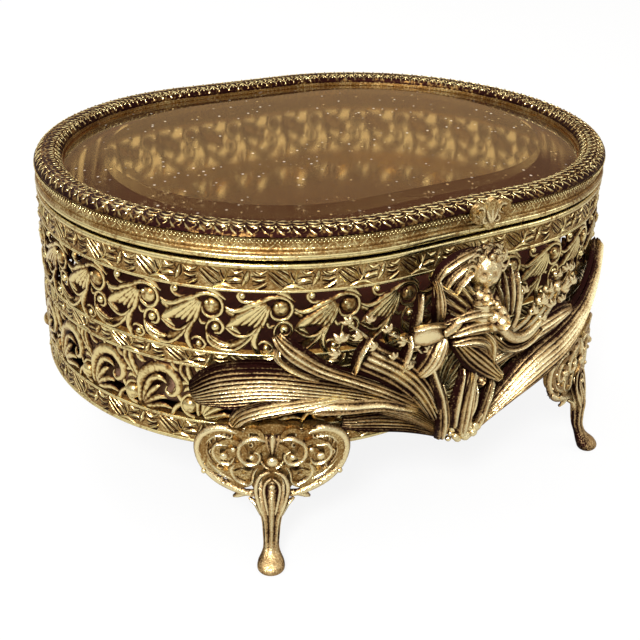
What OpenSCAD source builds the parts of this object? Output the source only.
// Oval gilt casket with a bevelled glass lid, openwork scroll walls, four cabriole legs
// and a cast spray of leaves, lilies and a cherub on the front.
// Millimetres. The feet stand on z = 0, the front faces -Y and the lid hinges at the back.

/* [Lid outline] */
// Length of the lid, left to right
lid_length = 200; // [192:2:214]
// Width of the lid, front to back, and so twice the radius of its round ends
lid_width = 156; // [148:2:162]
// How far the body stands inside the lid outline
body_inset = 0.6; // [0.4:0.1:1.2]

/* [Heights] */
// Clear height of the legs under the body
leg_height = 35; // [30:1:42]
// Height of the bottom band
base_band_h = 8; // [6:0.5:10]
// Height of the lower openwork gallery
lower_gallery_h = 17.5; // [16.5:0.5:21]
// Height of the middle band
middle_band_h = 6; // [4.5:0.5:8]
// Height of the upper openwork gallery
upper_gallery_h = 19; // [18:0.5:22]
// Height of the rim band
rim_band_h = 8; // [6:0.5:10]
// Dark gap between the rim band and the lid
lid_gap = 3; // [2.5:0.1:4]
// Height of the engraved wall of the lid frame
lid_wall_h = 5.2; // [5:0.1:6.5]
// Height of the leaf border on top of the lid frame
crown_h = 3.8; // [3:0.1:5]

/* [Metal] */
// Thickness of the bands
band_t = 2.2; // [1.8:0.1:2.8]
// Thickness of the openwork galleries
gallery_t = 1.6; // [1.2:0.1:1.8]
// Width of the ledges inside the bands
ledge_w = 1.6; // [1.4:0.1:2.2]
// Thickness of the base plate and of the ledges
plate_t = 1.2; // [1:0.1:1.8]
// Thickness of the upright collar that the lid closes over
collar_t = 1.2; // [0.9:0.1:1.5]
// Radius of the rolled wires along the bands
wire_r = 0.5; // [0.3:0.05:0.7]
// Number of cast panels in each gallery
panels = 15; // [13:1:16]
// Where the first panel of the upper gallery starts, to the right of the front centre
upper_start = 4.6; // [0:0.2:10]
// Where the first panel of the lower gallery starts, to the right of the front centre
lower_start = 9.6; // [5:0.2:15]
// Width of the scroll ribbons of the galleries
ribbon_w = 1.5; // [1.2:0.1:1.8]

/* [Glass] */
// Thickness of the glass in the middle
glass_t = 4.2; // [3.6:0.1:5]
// Thickness of the glass at its edge
glass_edge_t = 2.2; // [1.8:0.1:2.8]
// Width of the bevel
bevel_w = 14; // [10:0.5:18]
// Distance from the lid outline to the visible edge of the glass
sight_inset = 8.8; // [8.2:0.1:10]
// How far the glass reaches under the frame
glass_lap = 3; // [2.5:0.1:3.4]

/* [Thumb lift] */
// Place of the thumb lift, to the right of the front centre
thumb_u = 6; // [0:0.5:10]

/* [Legs] */
// Direction of each leg, from the end centre of the oval, in degrees from the long axis
leg_angle = 61.5; // [58:0.5:68]
// How far the foot stands out past the lid outline
leg_splay = 10.4; // [7:0.2:13]
// Width of the scrolled shield that joins a leg to the body
shield_w = 42; // [36:1:46]
// How far the shield climbs over the body
shield_rise = 10; // [7:0.5:13]
// How far the shield hangs below the body
shield_drop = 15; // [12:0.5:18]
// Radius of the pad foot
foot_r = 3.5; // [2.8:0.1:4.4]
// Radius of the leg screws
leg_screw_r = 1.5; // [1.2:0.1:1.8]

/* [Cushion] */
// Thickness of the card under the cushion
board_t = 1; // [0.8:0.1:1.6]
// Height of the cushion at its middle
pad_h = 22; // [16:0.5:24]
// How much the cushion rises from its edge to its middle
pad_crown = 5; // [3:0.5:7]
// Space between the cushion and the wall
pad_clearance = 1.4; // [1:0.1:2.5]

/* [Hinge] */
// Length of the hinge
hinge_l = 30; // [24:1:36]
// Radius of the hinge knuckles
knuckle_r = 1.8; // [1.6:0.1:2.2]
// Radius of the hinge pin
pin_r = 0.85; // [0.7:0.05:1]
// Gap between neighbouring knuckles
knuckle_gap = 0.3; // [0.25:0.05:0.4]
// Radius of the hinge rivets
rivet_r = 0.7; // [0.5:0.05:0.9]

/* [Fits] */
// Running gap between the lid and the body
lid_clearance = 0.4; // [0.35:0.05:0.5]
// Radial gap between the hinge pin and its bore
pin_clearance = 0.05; // [0.03:0.01:0.08]
// Gap around plates, panels, screws and glass
seat_clearance = 0.1; // [0.08:0.02:0.16]

/* [Hidden] */
$fn = 64;

gilt = "#c9a24a";
bright_gilt = "#e2c06a";
dark_gilt = "#6b4a26";
amber_glass = [0.62, 0.42, 0.30, 0.45];
velvet = "#7c4a4a";
card = "#8a7a62";

end_radius = lid_width / 2;
end_x = lid_length / 2 - end_radius;
end_run = PI * end_radius;
perimeter = 4 * end_x + 2 * end_run;

base_z = leg_height;
lower_z = base_z + base_band_h;
middle_z = lower_z + lower_gallery_h;
upper_z = middle_z + middle_band_h;
rim_z = upper_z + upper_gallery_h;
rim_top = rim_z + rim_band_h;
lid_z = rim_top + lid_gap;
shelf_z = lid_z + lid_wall_h;
crown_top = shelf_z + crown_h;

band_in = body_inset + band_t;
ledge_in = band_in + ledge_w;
wall_mid = body_inset + band_t / 2;
plate_inset = band_in + seat_clearance;

lid_wall_in = body_inset + 1.9;
flange_t = 1;
glass_inset = sight_inset - glass_lap;
glass_top = shelf_z - flange_t - seat_clearance;
retainer_t = 0.7;
retainer_top = glass_top - glass_edge_t - seat_clearance / 2;
tab_t = 0.5;
tab_z = retainer_top - retainer_t - tab_t - seat_clearance / 2;

// The ornament reaches further from the lid than the hinge does, so the whole is shifted back
// until its footprint is centred on the origin
ornament_reach = 14;
pin_out = 1.9;
pin_y = end_radius + pin_out;
row_shift = (ornament_reach - pin_out - knuckle_r) / 2;

module place() {
    translate([0, row_shift, 0]) children();
}

// A ring that follows the oval. The child is its section, drawn with x = 0 on the lid outline.
module oval_ring() {
    for (side = [0, 180]) rotate([0, 0, side]) {
        translate([end_x, 0, 0]) rotate([0, 0, -90])
            rotate_extrude(angle = 180, $fn = 96) translate([end_radius, 0]) children();
        translate([end_x, 0, 0]) rotate([90, 0, -90])
            linear_extrude(2 * end_x) translate([-end_radius, 0]) mirror([1, 0]) children();
    }
}

// A solid plate with the oval outline. edge lists its rim from the bottom to the top as
// [inset, z], and the middle is flat between the first and the last of them.
module oval_plate(edge) {
    bottom = edge[0][1];
    top = edge[len(edge) - 1][1];
    section = concat([[0, bottom]], [for (p = edge) [end_radius - p[0], p[1]]], [[0, top]]);
    for (side = [0, 180]) rotate([0, 0, side]) {
        translate([end_x, 0, 0]) rotate([0, 0, -90])
            rotate_extrude(angle = 180, $fn = 96) polygon(section);
        translate([-end_x, 0, 0]) rotate([90, 0, 90]) linear_extrude(2 * end_x) polygon(section);
    }
}

// The place u along the outline from the front centre, positive to the right:
// [x of the centre it turns about, y of it, radius, heading]
function rim_frame(u) =
    let (s = u - perimeter * floor(u / perimeter))
    s < end_x ? [s, 0, end_radius, -90]
    : s < end_x + end_run ? [end_x, 0, end_radius, (s - end_x) / end_radius * 180 / PI - 90]
    : s < 3 * end_x + end_run ? [2 * end_x + end_run - s, 0, end_radius, 90]
    : s < 3 * end_x + 2 * end_run
        ? [-end_x, 0, end_radius, (s - 3 * end_x - end_run) / end_radius * 180 / PI + 90]
    : [s - perimeter, 0, end_radius, -90];

// A point at u along the outline, out from it by t, at height z
function on_rim(u, t, z) =
    let (f = rim_frame(u)) [f[0] + (f[2] + t) * cos(f[3]), f[1] + (f[2] + t) * sin(f[3]), z];

// Puts a flat drawing upright on the wall: its x runs along the wall and its y goes up
module at_rim(u, t = 0, z = 0) {
    f = rim_frame(u);
    translate([f[0], f[1], z]) rotate([0, 0, f[3]]) translate([f[2] + t, 0, 0])
        rotate([90, 0, 90]) children();
}

module arc_ribbon(x, y, r, from, to, w = ribbon_w) {
    reach = (r + w) / cos(45);
    mid = (from + to) / 2;
    translate([x, y]) intersection() {
        difference() {
            circle(r = r + w / 2);
            circle(r = r - w / 2);
        }
        if (to - from < 180)
            polygon([[0, 0], reach * 2 * [cos(from), sin(from)], reach * 2 * [cos(mid), sin(mid)],
                reach * 2 * [cos(to), sin(to)]]);
        else
            difference() {
                square(4 * reach, center = true);
                polygon([[0, 0], reach * 4 * [cos(to), sin(to)],
                    reach * 4 * [cos(mid + 180), sin(mid + 180)],
                    reach * 4 * [cos(from), sin(from)]]);
            }
    }
}

// A pointed leaf lobe from its root, made of two arcs
module lobe(x, y, length, width, angle) {
    bow = (length * length / 4 + width * width / 4) / width;
    translate([x, y]) rotate(angle) translate([length / 2, 0]) intersection() {
        translate([0, bow - width / 2]) circle(r = bow);
        translate([0, width / 2 - bow]) circle(r = bow);
    }
}

panel_run = perimeter / panels;
unit_w = panel_run / 2;

// A crescent: a disc with a smaller disc, moved off by dx and dy, taken out of it
module crescent(x, y, r, r_in, dx, dy) {
    translate([x, y]) difference() {
        circle(r = r);
        translate([dx, dy]) circle(r = r_in);
    }
}

// What is pierced in one repeat of the upper gallery, between a leaf that rises into a scroll
// and the bowl-shaped stem under it
module scroll_holes(h) {
    crescent(13.4, h - 6.4, 2.7, 1.9, -1.1, -0.5);
    for (i = [0:1]) lobe(10.2, h / 2 + 0.8 - 1.8 * i, 5.6, 1.4, 140 + 26 * i);
    crescent(6.4, h / 2 - 3.2, 4, 3.7, 0.3, 2.5);
    crescent(2.8, h / 2 + 2.6, 2.1, 1.3, 0.5, -1.1);
    lobe(5.4, h - 3.2, 8, 2.5, -2);
    lobe(16.3, h - 9, 6.2, 2.9, -78);
    crescent(17.4, 3.7, 1.9, 1.2, -0.7, 0.6);
    lobe(11.1, 3.2, 4.6, 2.3, 10);
}

// What is pierced in one repeat of the lower gallery, round an arch over a fan of leaves
module arch_holes(h) {
    crescent(10, h / 2 - 0.5, 6.1, 5, 0.2, -1.8);
    for (i = [0:2]) lobe(10.6, 2.4, 5.2, 1.6, 50 + 40 * i);
    crescent(2.6, 3.8, 2, 1.3, 0.7, 0.6);
    crescent(2.3, h - 4.4, 2, 1.3, 0.5, -0.9);
    lobe(11.6, h - 2.4, 5.2, 1.7, -4);
    lobe(17.5, 2.6, 5.4, 2.4, 84);
}

// A ring of openwork panels between two heights. The first one starts at u from the front
// centre, and upper picks the scroll pattern.
module gallery(z, h, u, upper) {
    difference() {
        oval_ring() translate([-wall_mid - gallery_t / 2, z]) square([gallery_t, h]);
        for (i = [0:2 * panels - 1]) at_rim(u + i * unit_w, -6, z) linear_extrude(9)
            if (upper) scroll_holes(h); else arch_holes(h);
        for (i = [0:panels - 1]) at_rim(u + i * panel_run, -6, z)
            translate([-seat_clearance / 2, -1]) linear_extrude(9) square([seat_clearance, h + 2]);
    }
}

module base_plate() {
    color(dark_gilt) place() difference() {
        oval_plate([[plate_inset, base_z], [plate_inset, base_z + plate_t]]);
        for (k = [0:3]) at_leg(k) translate([-lug_reach, 0, base_z - 1])
            cylinder(r = leg_screw_r + seat_clearance, h = plate_t + 2);
    }
}

module base_band() {
    color(gilt) place() difference() {
        oval_ring() union() {
            translate([-band_in, base_z]) square([band_t - 0.3, base_band_h]);
            translate([-band_in, base_z + 0.5]) square([band_t, base_band_h - 1]);
            translate([-body_inset - 0.3, base_z + 0.6]) circle(r = wire_r + 0.1, $fn = 24);
            translate([-body_inset - 0.3, lower_z - wire_r]) circle(r = wire_r, $fn = 24);
            translate([-ledge_in, base_z + plate_t]) square([ledge_w + 0.5, plate_t]);
        }
        ornament_holes();
    }
}

module lower_gallery() {
    color(gilt) place() gallery(lower_z, lower_gallery_h, lower_start, false);
}

module middle_band() {
    color(gilt) place() difference() {
        oval_ring() union() {
            translate([-band_in, middle_z]) square([band_t - 0.3, middle_band_h]);
            translate([-band_in, middle_z + 0.5]) square([band_t, middle_band_h - 1]);
            for (z = [middle_z + wire_r, upper_z - wire_r])
                translate([-body_inset - 0.3, z]) circle(r = wire_r, $fn = 24);
        }
        ornament_holes();
    }
}

module upper_gallery() {
    color(gilt) place() gallery(upper_z, upper_gallery_h, upper_start, true);
}

module rim_band() {
    color(gilt) place() difference() {
        oval_ring() union() {
            translate([-band_in, rim_z]) square([band_t - 0.3, rim_band_h]);
            translate([-band_in, rim_z + 0.5]) square([band_t, rim_band_h - 1.1]);
            for (z = [rim_z + wire_r, rim_top - wire_r - 0.1])
                translate([-body_inset - 0.3, z]) circle(r = wire_r, $fn = 24);
            translate([-ledge_in, rim_z]) square([ledge_w + 0.5, plate_t]);
        }
        rivet_holes(body_rivet_z);
    }
}

collar_out = band_in + 0.4;
collar_top = tab_z - lid_clearance;

module rim_collar() {
    color(dark_gilt) place() oval_ring()
        translate([-collar_out - collar_t, rim_z + plate_t])
            square([collar_t, collar_top - rim_z - plate_t]);
}

// Legs

lug_reach = 9;
lug_t = 2.5;
// How far the leg screws stand above the base plate, where the card rests on their ends
screw_end = 2.4;
leg_dir = [[-1, -1], [1, -1], [-1, 1], [1, 1]];

// Leg k's own frame: the origin on the lid outline, x outward and y along the wall
module at_leg(k) {
    s = leg_dir[k];
    turn = s[1] * leg_angle;
    heading = s[0] > 0 ? turn : 180 - turn;
    translate([s[0] * end_x, 0, 0]) rotate([0, 0, heading]) translate([end_radius, 0, 0])
        children();
}

// Outline of the shield, drawn with y = 0 at the underside of the body
module shield_outline() {
    difference() {
        union() {
            translate([0, 1]) circle(r = 9.6);
            for (s = [-1, 1]) {
                translate([s * (shield_w / 2 - 8.4), 0.8]) circle(r = 8.4);
                translate([s * 9.4, -7.2]) circle(r = 4.8);
                translate([s * 5.6, shield_rise - 3.6]) circle(r = 3.6);
            }
            translate([0, -8]) circle(r = 6.6);
            translate([0, 4 - shield_drop]) circle(r = 4);
        }
        for (s = [-1, 1]) {
            translate([s * 7, -4.4]) circle(r = 1.5);
            translate([s * (shield_w / 2 - 4.4), -9.4]) circle(r = 3.4);
        }
    }
}

// Scrolls and nested ridges that stand proud of the shield
module shield_relief() {
    for (s = [0, 1]) mirror([s, 0]) {
        arc_ribbon(shield_w / 2 - 8.4, 0.8, 7.4, -120, 150, 1.8);
        arc_ribbon(shield_w / 2 - 9, 0.6, 4, -40, 230, 1.6);
        translate([shield_w / 2 - 9, 0.6]) circle(r = 1.7);
        arc_ribbon(8.8, -6.8, 3.6, -140, 100, 1.5);
        arc_ribbon(5.6, shield_rise - 3.8, 2.6, -30, 210, 1.4);
    }
    arc_ribbon(0, -1, 5, -60, 240, 1.6);
    arc_ribbon(0, -8, 5.4, 20, 160, 1.4);
}

// The oval boss in the middle of the shield
module cartouche() {
    lobe(0, -5.4, 10.8, 6, 90);
}

// Rings of the shank from the foot up: [height, outward, half width, half depth]
shank = [[0, leg_splay, foot_r * 0.72, foot_r * 0.72], [0.5, leg_splay, foot_r * 0.88, foot_r * 0.88],
    [leg_height * 0.04, leg_splay, foot_r, foot_r],
    [leg_height * 0.08, leg_splay - 0.8, foot_r * 0.94, foot_r * 0.94],
    [leg_height * 0.12, leg_splay - 2.2, 2.4, 2.2], [leg_height * 0.17, leg_splay - 3.6, 1.7, 1.6],
    [leg_height * 0.25, leg_splay - 4.6, 1.6, 1.6], [leg_height * 0.36, leg_splay - 5, 1.9, 1.9],
    [leg_height - 19, 5.2, 2.6, 2.3], [leg_height - 16, 4.6, 3.3, 2.3],
    [leg_height - 13, 3.4, 3.6, 1.8]];

// Closes a stack of equal rings of points into one solid
module skin(rings) {
    n = len(rings[0]);
    last = (len(rings) - 1) * n;
    polyhedron(
        points = [for (ring = rings) for (p = ring) p],
        faces = concat(
            [[for (j = [0:n - 1]) j]],
            [for (i = [0:len(rings) - 2]) for (j = [0:n - 1]) for (half = [0, 1])
                half == 0 ? [i * n + j, (i + 1) * n + j, i * n + (j + 1) % n]
                : [i * n + (j + 1) % n, (i + 1) * n + j, (i + 1) * n + (j + 1) % n]],
            [[for (j = [n - 1:-1:0]) last + j]]));
}

module leg_shank() {
    sides = 12;
    ribs = 0.12;
    skin([for (s = shank) [for (j = [0:sides - 1])
        let (a = j * 360 / sides, r = 1 + (j % 2 == 0 ? ribs : -ribs) * (s[0] > 3 ? 1 : 0))
        [s[1] + s[3] * r * cos(a), s[2] * r * sin(a), s[0]]]]);
}

module leg(k) {
    color(bright_gilt) place() union() {
        intersection() {
            oval_ring() translate([0.2, base_z - shield_drop - 1])
                square([2.2, shield_drop + shield_rise + 2]);
            at_leg(k) translate([-8, 0, base_z]) rotate([90, 0, 90]) linear_extrude(14)
                shield_outline();
        }
        intersection() {
            oval_ring() translate([1, base_z - shield_drop - 1])
                square([2.4, shield_drop + shield_rise + 2]);
            at_leg(k) translate([-8, 0, base_z]) rotate([90, 0, 90]) linear_extrude(14)
                shield_relief();
        }
        at_leg(k) translate([0, 0, base_z - 8]) rotate([90, 0, 90])
            translate([0, 0, 1]) linear_extrude(3.4) cartouche();
        at_leg(k) leg_shank();
        difference() {
            at_leg(k) translate([-lug_reach - 4, -5, base_z - lug_t]) cube([lug_reach + 5, 10, lug_t]);
            at_leg(k) translate([-lug_reach, 0, base_z - lug_t - 1])
                cylinder(r = leg_screw_r + seat_clearance, h = lug_t + 2, $fn = 48);
        }
    }
}

module leg_front_left() { leg(0); }
module leg_front_right() { leg(1); }
module leg_back_left() { leg(2); }
module leg_back_right() { leg(3); }

module leg_screws() {
    color(dark_gilt) place() for (k = [0:3]) at_leg(k)
        translate([-lug_reach, 0, base_z - lug_t]) {
            cylinder(r = leg_screw_r, h = lug_t + plate_t + screw_end);
            translate([0, 0, -1.6]) cylinder(r = 2.7, h = 1.6);
        }
}

module leg_nuts() {
    color(dark_gilt) place() for (k = [0:3]) at_leg(k)
        translate([-lug_reach, 0, base_z + plate_t]) difference() {
            cylinder(r = 2.9, h = 1.8, $fn = 6);
            translate([0, 0, -1]) cylinder(r = leg_screw_r + 0.06, h = 4);
        }
}

// Cushion

board_z = base_z + plate_t + screw_end + 0.04;
pad_z = board_z + board_t;
pad_inset = band_in + pad_clearance;

module pad_board() {
    color(card) place() oval_plate([[pad_inset + 1, board_z], [pad_inset + 1, pad_z]]);
}

// Sides of the cushion from the bottom to the top of its edge: [inset, share of edge height]
pad_edge = [[3.5, 0], [1, 0.1], [0, 0.3], [0, 0.55], [0.8, 0.78], [3, 0.94], [7, 1.02],
    [14, 1.08], [26, 1.15], [40, 1.2], [56, 1.22]];

module velvet_pad() {
    edge_h = pad_h - pad_crown;
    top_share = 1.22;
    color(velvet) place() oval_plate([for (e = pad_edge)
        let (share = e[1] <= 1 ? e[1] * edge_h : edge_h + (e[1] - 1) / (top_share - 1) * pad_crown)
        [pad_inset + e[0], pad_z + share]]);
}

// Front ornament

// A point on a smooth path through the rows of a table, at t rows from its start
function row_at(rows, t) =
    let (n = len(rows), i = min(floor(t), n - 2), f = t - i,
        a = rows[max(i - 1, 0)], b = rows[i], c = rows[i + 1], d = rows[min(i + 2, n - 1)])
    0.5 * (2 * b + (c - a) * f + (2 * a - 5 * b + 4 * c - d) * f * f
        + (3 * b - a - 3 * c + d) * f * f * f);

// A ribbed leaf over the wall. Each row is [u, z, out, half width] down its midrib, and the
// half width is measured square to the midrib in the wall's own surface.
module leaf(rows, ribs = 2, depth = 1.4, dish = 1.2, along = 7, rib_h = 0.7) {
    across = 4 * ribs;
    skin([for (i = [0:along]) let (
            t = i / along * (len(rows) - 1),
            p = row_at(rows, t),
            q = row_at(rows, min(t + 0.02, len(rows) - 1)) - row_at(rows, max(t - 0.02, 0)),
            len_q = norm([q[0], q[1]]),
            side = [-q[1], q[0]] / len_q,
            w = max(p[3], 0.35))
        concat(
            [for (j = [across:-1:0]) let (
                    x = 2 * j / across - 1,
                    rib = (j % 2 == 0 ? rib_h : -rib_h) * min(1, w / 4),
                    out = p[2] + dish * (1 - x * x) + rib * (1 - abs(x) * 0.5))
                on_rim(p[0] + side[0] * w * x, out, p[1] + side[1] * w * x)],
            [for (x = [-0.96, 0, 0.96])
                on_rim(p[0] + side[0] * w * x, p[2] - depth, p[1] + side[1] * w * x)])]);
}

module ball(u, z, out, r) {
    translate(on_rim(u, out, z)) sphere(r = r, $fn = r > 4 ? 12 : 8);
}

module limb(a, b, ra, rb) {
    hull() {
        translate(on_rim(a[0], a[2], a[1])) sphere(r = ra, $fn = 8);
        translate(on_rim(b[0], b[2], b[1])) sphere(r = rb, $fn = 8);
    }
}

module leaf_spray() {
    // Long palm leaf to the left, broad at its tip
    leaf([[-8, 35, 3, 4], [-24, 43, 4, 6], [-44, 53, 4, 8], [-64, 57, 3.4, 8.6], [-81, 53.5, 2.6, 4.2]],
        ribs = 3, along = 10, dish = 2);
    leaf([[-10, 37, 5, 3], [-24, 50, 6, 4.4], [-42, 62, 5, 4.6], [-57, 71, 3.6, 1.6]]);
    leaf([[-9, 38, 6.5, 3], [-18, 52, 7, 4.6], [-28, 62, 6, 5.4], [-36, 69.5, 4.4, 2.6]]);
    leaf([[-14, 37.5, 6, 1.6], [-30, 46, 7, 2.6], [-44, 53, 6.6, 2.8], [-56, 53, 5, 0.8]],
        depth = 2.8);
    // Long blade to the right
    leaf([[-2, 33, 4, 4], [14, 40, 5, 5], [32, 50, 5, 5.4], [50, 59, 4, 4], [68, 68, 3, 1]],
        ribs = 3, along = 10, dish = 2);
    // Folded leaf above the blade
    leaf([[-3, 50, 6, 4], [14, 58, 5.6, 6.4], [28, 63, 6, 5.6], [38, 66, 5, 2]]);
    // Pointed leaf down to the right
    leaf([[-9, 66, 8.5, 3], [-3, 60, 9.5, 4.4], [4, 53, 8.6, 3.6], [10, 48, 7.6, 0.8]]);
    // Root
    limb([-8, 34.6, 4.6], [-1, 35, 5], 5, 4.2);
    limb([-6, 42, 5], [-3, 62, 5.5], 4.4, 5);
}

module lilies() {
    leaf([[-16, 62, 8, 1.4], [-21, 70, 6.6, 2.8], [-21, 79, 5.4, 2.4], [-20.4, 87, 4.8, 0.7]]);
    leaf([[-13, 62, 9, 1.6], [-16, 70, 9, 3], [-15.5, 78, 7.6, 2.8], [-14, 86, 6.4, 0.7]]);
    leaf([[-14, 60, 8, 1.4], [-20, 66, 8, 2.4], [-25, 72, 6, 2.6], [-27.5, 78, 4.6, 0.9]]);
    ball(-24.2, 75.6, 5.4, 2.9);
    ball(-15.8, 64.5, 9, 4.4);
    // Lily of the valley buds on two stems
    limb([-15, 55, 7], [-38, 78, 4.6], 1, 0.9);
    for (b = [[-22, 63, 7, 2], [-29, 70, 6, 2.1], [-34, 73, 5.4, 1.9], [-38, 78.6, 4.8, 2]])
        ball(b[0], b[1], b[2], b[3]);
    for (b = [[-9, 57, 8.4, 2.1], [-8, 50, 8.6, 2], [-6.6, 43, 8, 1.9]])
        ball(b[0], b[1], b[2], b[3]);
    // Bud cluster to the right
    limb([6, 68, 6.4], [33, 81, 4.8], 1.3, 1);
    for (b = [[15, 72, 6.6, 2.5], [21, 75, 6.4, 2.6], [26, 80, 5.6, 2.3], [32, 82, 5, 2.2]])
        ball(b[0], b[1], b[2], b[3]);
}

// The cherub leans forward over the flowers. Each place is [u, z, out].
module cherub() {
    ball(-5.6, 91.6, 8.4, 5.5);
    limb([-4, 84, 7.4], [-3, 74, 7.6], 4.6, 5);
    limb([-2.6, 83.6, 8.6], [6, 78, 9.6], 2.3, 1.9);
    limb([6, 78, 9.6], [3, 73.6, 11], 1.9, 2);
    limb([-8, 83, 8], [-12, 76, 9.4], 2.2, 1.8);
    limb([-12, 76, 9.4], [-7, 72, 11], 1.8, 1.6);
    limb([0, 73, 8.4], [10, 67, 9.4], 3.6, 2.8);
    limb([10, 66.4, 8.6], [26, 63, 8], 2.8, 1.9);
    limb([-4, 72, 8], [-12, 66, 10], 3.6, 2.8);
    ball(-4.8, 82.4, 10.4, 2.9);
    // Wings
    leaf([[-5, 84, 4.6, 2.4], [-9, 89, 4.6, 3.4], [-14, 94, 4.2, 3], [-18, 98, 3.8, 0.8]]);
    leaf([[-3, 80, 4.8, 2.4], [4, 84, 5, 3.4], [9.6, 80.6, 4.8, 3], [12, 75, 4.8, 0.8]]);
}

screw_places = [[-14, base_z + plate_t * 2 + 1.7], [-16, middle_z + middle_band_h / 2],
    [10, middle_z + middle_band_h / 2]];
ornament_screw_r = 1;

module ornament_holes() {
    for (p = screw_places) at_rim(p[0], -8, p[1])
        cylinder(r = ornament_screw_r + seat_clearance, h = 9.5, $fn = 32);
}

module front_ornament() {
    color(bright_gilt) place() difference() {
        union() {
            leaf_spray();
            lilies();
            cherub();
            for (p = screw_places) at_rim(p[0], -0.3, p[1]) cylinder(r = 2.8, h = 6, $fn = 20);
        }
        for (p = screw_places) at_rim(p[0], -1, p[1])
            cylinder(r = ornament_screw_r + seat_clearance, h = 5.2, $fn = 20);
    }
}

module ornament_screws() {
    color(dark_gilt) place() for (p = screw_places) {
        at_rim(p[0], -band_in - 0.2, p[1]) cylinder(r = ornament_screw_r, h = band_in + 4);
        at_rim(p[0], -band_in - 1.3, p[1]) cylinder(r = 1.5, h = 1.1);
    }
}

// Hinge

hinge_z = rim_top + 1.8;
knuckles = 5;
knuckle_pitch = (hinge_l + knuckle_gap) / knuckles;
knuckle_l = knuckle_pitch - knuckle_gap;
leaf_t = 0.8;
leaf_gap = 0.3;
rivet_x = [-hinge_l / 2 + 4, hinge_l / 2 - 4];
body_rivet_z = rim_z + 4.2;
lid_rivet_z = lid_z + 3;

module knuckle_row(first) {
    for (i = [first:2:knuckles - 1])
        translate([-hinge_l / 2 + i * knuckle_pitch, pin_y, hinge_z]) rotate([0, 90, 0])
            cylinder(r = knuckle_r, h = knuckle_l, $fn = 48);
}

module knuckle_webs(first, z, h, y) {
    for (i = [first:2:knuckles - 1])
        translate([-hinge_l / 2 + i * knuckle_pitch, y, z]) cube([knuckle_l, pin_y - y, h]);
}

// Curved hinge plate between two heights, inset from the outline by the given distance
module hinge_plate(inset, z, h) {
    intersection() {
        oval_ring() translate([-inset, z]) square([leaf_t, h]);
        translate([-hinge_l / 2, 0, z - 1]) cube([hinge_l, lid_width, h + 2]);
    }
}

module pin_bore() {
    translate([-hinge_l / 2 - 1, pin_y, hinge_z]) rotate([0, 90, 0])
        cylinder(r = pin_r + pin_clearance, h = hinge_l + 2, $fn = 48);
}

module rivet_holes(z) {
    for (x = rivet_x) translate([x, end_radius - ledge_in - 2, z]) rotate([-90, 0, 0])
        cylinder(r = rivet_r + seat_clearance, h = ledge_in + 6, $fn = 32);
}

plate_top = hinge_z - knuckle_r - lid_clearance;
plate_y = end_radius - body_inset + leaf_gap;
lid_plate_z = hinge_z + knuckle_r + lid_clearance;

module hinge_leaf_body() {
    color(bright_gilt) place() difference() {
        union() {
            hinge_plate(body_inset - leaf_gap, rim_z + 1.4, plate_top - rim_z - 1.4);
            knuckle_row(0);
            knuckle_webs(0, plate_top - 1.2, hinge_z - plate_top + 1.2 - 0.4, plate_y + 0.3);
        }
        pin_bore();
        rivet_holes(body_rivet_z);
    }
}

module hinge_pin() {
    head_l = 0.8;
    color(dark_gilt) place() union() {
        translate([-hinge_l / 2 - 0.2, pin_y, hinge_z]) rotate([0, 90, 0])
            cylinder(r = pin_r, h = hinge_l + 0.4, $fn = 48);
        for (s = [0, 1]) mirror([s, 0, 0]) translate([hinge_l / 2 + 0.15, pin_y, hinge_z])
            rotate([0, 90, 0]) cylinder(r = pin_r + 0.5, h = head_l, $fn = 48);
    }
}

rivet_head = 0.25;

module rivets(z, out, inner) {
    for (x = rivet_x) {
        y = end_radius;
        translate([x, y - inner, z]) rotate([-90, 0, 0])
            cylinder(r = rivet_r, h = inner + out, $fn = 32);
        translate([x, y + out, z]) rotate([-90, 0, 0]) cylinder(r = rivet_r + 0.6, h = 0.5, $fn = 32);
        translate([x, y - inner - rivet_head, z]) rotate([-90, 0, 0])
            cylinder(r = rivet_r + 0.4, h = rivet_head, $fn = 32);
    }
}

module hinge_rivets_body() {
    color(dark_gilt) place()
        rivets(body_rivet_z, leaf_gap - body_inset + leaf_t + 0.08, band_in + 0.05);
}

// Lid

module lid_frame() {
    color(gilt) place() difference() {
        oval_ring() difference() {
            union() {
                translate([-lid_wall_in, lid_z]) square([lid_wall_in - 0.8, lid_wall_h]);
                translate([-0.8, lid_z + 0.8]) circle(r = 0.8, $fn = 32);
                translate([-sight_inset, shelf_z - flange_t]) square([sight_inset - 1, flange_t]);
            }
            translate([0.2, lid_z + 2.9]) circle(r = 1.3, $fn = 32);
        }
        rivet_holes(lid_rivet_z);
    }
}

module lid_bead_row() {
    color(bright_gilt) place() oval_ring()
        translate([-0.25, shelf_z - 0.6]) circle(r = 0.5, $fn = 24);
}

leaf_pitch = 4.8;

// Leaves that twist diagonally over a rounded border
module lid_crown() {
    leaves = round(perimeter / leaf_pitch);
    stations = 2 * leaves;
    points_n = 6;
    wide = sight_inset + 0.2;
    lump = 0.55;
    color(gilt) place() ring_skin([for (i = [0:stations - 1]) [for (j = [0:points_n - 1])
        let (a = 180 * (1 - j / (points_n - 1)),
            phase = (i % 2 == 0 ? 1 : -1) * (j % 2 == 0 ? 1 : -1),
            edge = j == 0 || j == points_n - 1 ? 0 : 1,
            r = 1 + phase * lump / crown_h * edge)
        on_rim(i * perimeter / stations,
            -sight_inset + wide / 2 + wide / 2 * (1 - lump / crown_h) * r * cos(a),
            shelf_z + 0.02 + (crown_h - lump) * r * sin(a))]]);
}

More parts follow.
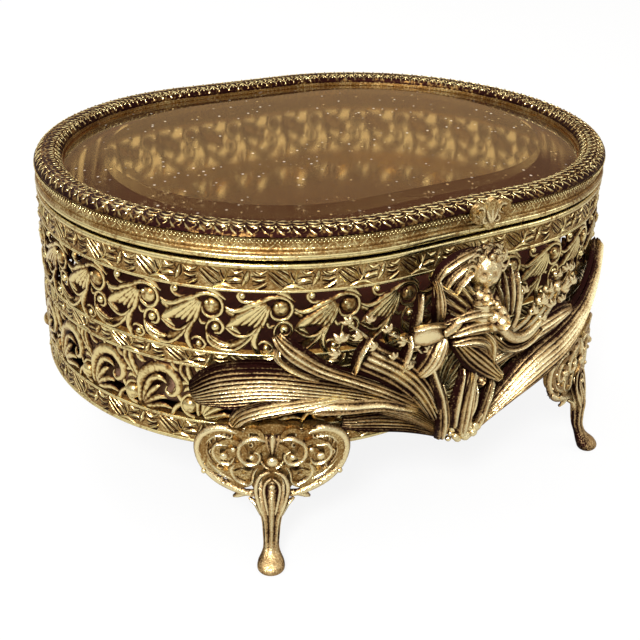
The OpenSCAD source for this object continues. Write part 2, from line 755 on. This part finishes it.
// Closes a loop of equal open sections into one ring
module ring_skin(rings) {
    n = len(rings[0]);
    m = len(rings);
    polyhedron(
        points = [for (ring = rings) for (p = ring) p],
        faces = [for (i = [0:m - 1]) for (j = [0:n - 1]) for (half = [0, 1])
            let (a = i * n + j, b = i * n + (j + 1) % n,
                c = ((i + 1) % m) * n + j, d = ((i + 1) % m) * n + (j + 1) % n)
            half == 0 ? [a, b, c] : [b, d, c]]);
}

module glass_panel() {
    color(amber_glass) place() oval_plate([
        [glass_inset, glass_top - glass_edge_t], [glass_inset, glass_top],
        [sight_inset + 0.6, glass_top],
        [sight_inset + bevel_w, glass_top - glass_edge_t + glass_t]]);
}

module glass_retainer() {
    color(dark_gilt) place() oval_ring()
        translate([-sight_inset - 0.4, retainer_top - retainer_t])
            square([sight_inset + 0.4 - lid_wall_in - 0.3, retainer_t]);
}

// Tabs soldered inside the frame and bent over the retainer
module retainer_tabs() {
    tabs = 12;
    tab_w = 6;
    color(dark_gilt) place() for (i = [0:tabs - 1]) intersection() {
        oval_ring() translate([-lid_wall_in - 3.6, tab_z]) square([3.5, tab_t]);
        at_rim((i + 0.5) * perimeter / tabs, -12, 0)
            translate([-tab_w / 2, 0]) linear_extrude(14) square([tab_w, crown_top]);
    }
}

// Small leaf scroll on the front of the lid frame, lifted with the thumb. Two pegs behind it
// meet the bottom of the frame's hollow.
module thumb_lift() {
    thumb_t = 0.3;
    color(bright_gilt) place() union() {
        for (s = [-1, 1]) {
            at_rim(thumb_u + s * 4.4, thumb_t, lid_z + 5.6) linear_extrude(1.5)
                arc_ribbon(0, 0, 2, -60 + 30 * s, 230 + 30 * s, 1.5);
            at_rim(thumb_u + s * 4.4, thumb_t, lid_z + 5.6) cylinder(r = 1, h = 2.2, $fn = 24);
            at_rim(thumb_u + s * 2.6, -0.9, lid_z + 2.9) cylinder(r = 0.6, h = 1.4, $fn = 24);
        }
        at_rim(thumb_u, thumb_t, lid_z + 4.4) linear_extrude(1.8) lobe(0, -2, 7.4, 4.6, 90);
        at_rim(thumb_u, thumb_t, lid_z + 1.6) linear_extrude(1.2) union() {
            lobe(0, 1.4, 7.4, 3.4, 10);
            lobe(0, 1.4, 7.4, 3.4, 170);
            circle(r = 1.9);
        }
    }
}

module hinge_leaf_lid() {
    color(bright_gilt) place() difference() {
        union() {
            hinge_plate(-leaf_gap, lid_plate_z, 3);
            knuckle_row(1);
            knuckle_webs(1, hinge_z + 0.4, lid_plate_z - hinge_z - 0.4 + 1.2, end_radius + leaf_gap);
        }
        pin_bore();
        rivet_holes(lid_rivet_z);
    }
}

module hinge_rivets_lid() {
    color(dark_gilt) place() rivets(lid_rivet_z, leaf_gap + leaf_t + 0.08, lid_wall_in + 0.12);
}

base_plate();
base_band();
lower_gallery();
middle_band();
upper_gallery();
rim_band();
rim_collar();
leg_front_left();
leg_front_right();
leg_back_left();
leg_back_right();
leg_screws();
leg_nuts();
pad_board();
velvet_pad();
front_ornament();
ornament_screws();
hinge_leaf_body();
hinge_pin();
hinge_rivets_body();
lid_frame();
lid_crown();
lid_bead_row();
glass_panel();
glass_retainer();
retainer_tabs();
thumb_lift();
hinge_leaf_lid();
hinge_rivets_lid();
